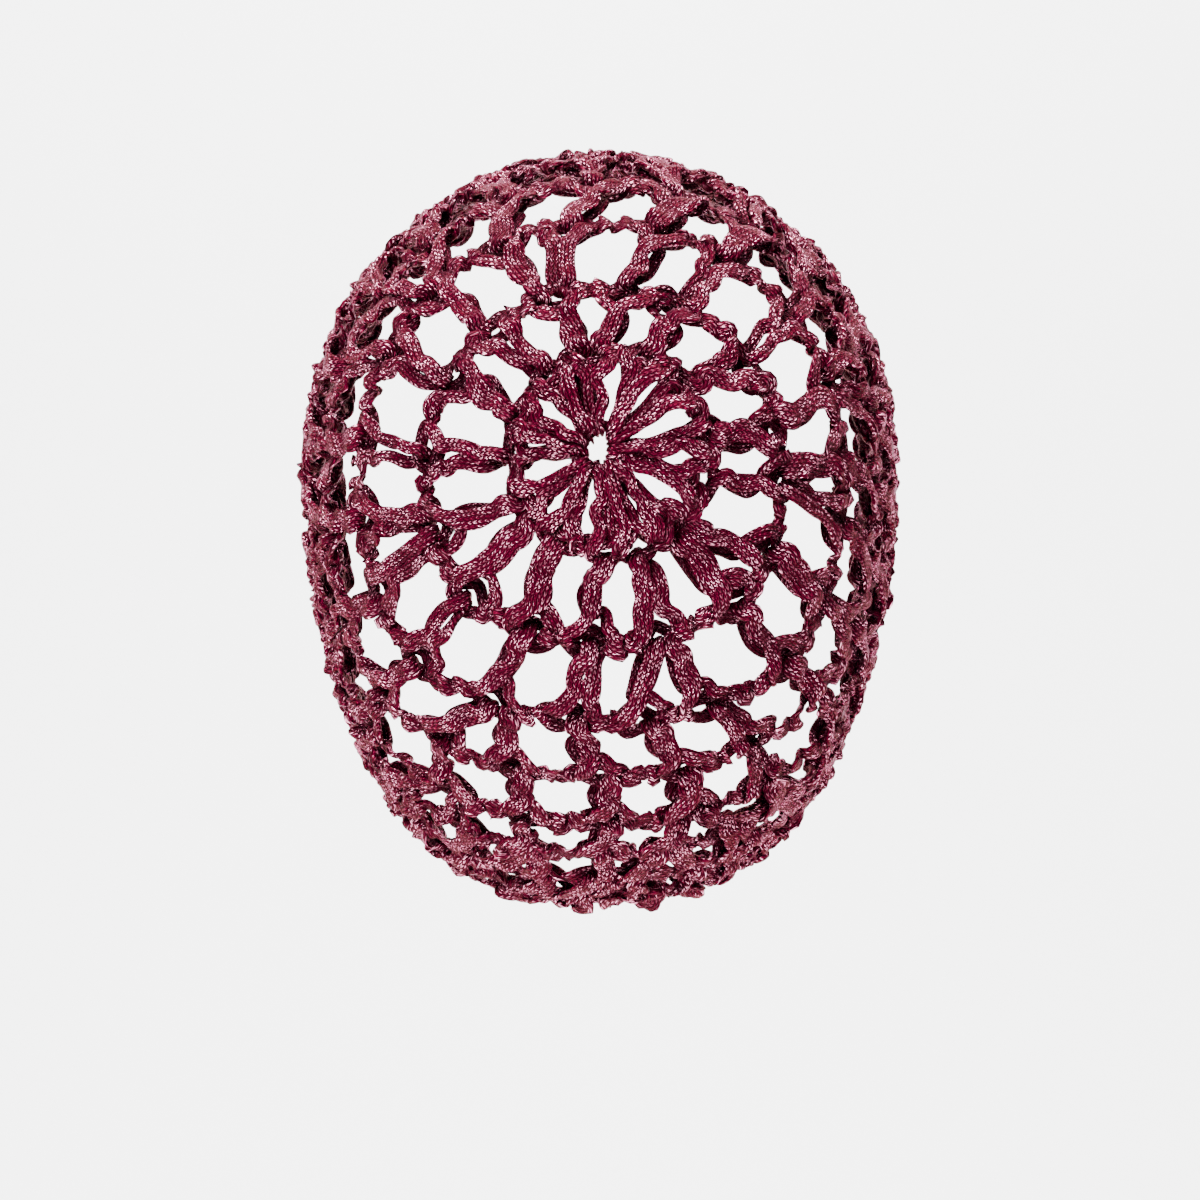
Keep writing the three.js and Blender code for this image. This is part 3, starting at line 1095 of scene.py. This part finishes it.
class SNOOD_OT_stage(bpy.types.Operator):
    """Set the camera, the floor and the lights"""

    bl_idname = "snood.stage"
    bl_label = "Stage"

    def execute(self, context):
        scene = context.scene
        stage = scene.snood_stage
        form = scene.snood_form
        low, high = CAD_BOX
        backdrop(stage, low[2])
        centre = tuple((least + most) / 2 for least, most in zip(low, high))
        for light in LIGHTS:
            soft_light(*light, centre)
        soft_light(*WALL_LIGHT, WALL_TARGET)
        world = bpy.data.worlds.new("Room")
        world.use_nodes = True
        air = world.node_tree.nodes["Background"]
        air.inputs["Color"].default_value = (1, 1, 1, 1)
        air.inputs["Strength"].default_value = WORLD_STRENGTH
        scene.world = world
        lens = bpy.data.cameras.new("camera")
        lens.sensor_width = SENSOR_WIDTH
        lens.lens = lens.sensor_width * stage.view_distance / stage.view_field
        lens.clip_start = 0.01
        camera = bpy.data.objects.new("camera", lens)
        camera.location = (
            0,
            stage.outline_depth - form.back_depth - stage.view_distance,
            -form.crown_height - stage.view_drop,
        )
        camera.rotation_euler = (math.pi / 2, 0, 0)
        scene.collection.objects.link(camera)
        scene.camera = camera
        return {"FINISHED"}


class SNOOD_PT_panel(bpy.types.Panel):
    """Lists the snood's pieces in the sidebar"""

    bl_idname = "SNOOD_PT_panel"
    bl_label = "Snood"
    bl_space_type = "VIEW_3D"
    bl_region_type = "UI"
    bl_category = "Snood"

    def draw(self, context):
        for operator in OPERATORS:
            self.layout.operator(operator.bl_idname)
        scene = context.scene
        for group in (scene.snood_form, scene.snood_ribbon, scene.snood_stage):
            box = self.layout.box()
            for name in group.__annotations__:
                box.prop(group, name)


OPERATORS = (
    SNOOD_OT_rosette,
    SNOOD_OT_open_rounds,
    SNOOD_OT_dense_rounds,
    SNOOD_OT_rim_edge,
    SNOOD_OT_stage,
)
CLASSES = (SnoodForm, SnoodRibbon, SnoodStage, *OPERATORS, SNOOD_PT_panel)


def register():
    for item in CLASSES:
        bpy.utils.register_class(item)
    bpy.types.Scene.snood_form = PointerProperty(type=SnoodForm)
    bpy.types.Scene.snood_ribbon = PointerProperty(type=SnoodRibbon)
    bpy.types.Scene.snood_stage = PointerProperty(type=SnoodStage)


def unregister():
    del bpy.types.Scene.snood_stage
    del bpy.types.Scene.snood_ribbon
    del bpy.types.Scene.snood_form
    for item in reversed(CLASSES):
        bpy.utils.unregister_class(item)


def main():
    register()
    bpy.ops.snood.rosette()
    bpy.ops.snood.open_rounds()
    bpy.ops.snood.dense_rounds()
    bpy.ops.snood.rim_edge()
    bpy.ops.snood.stage()


if __name__ == "__main__":
    main()
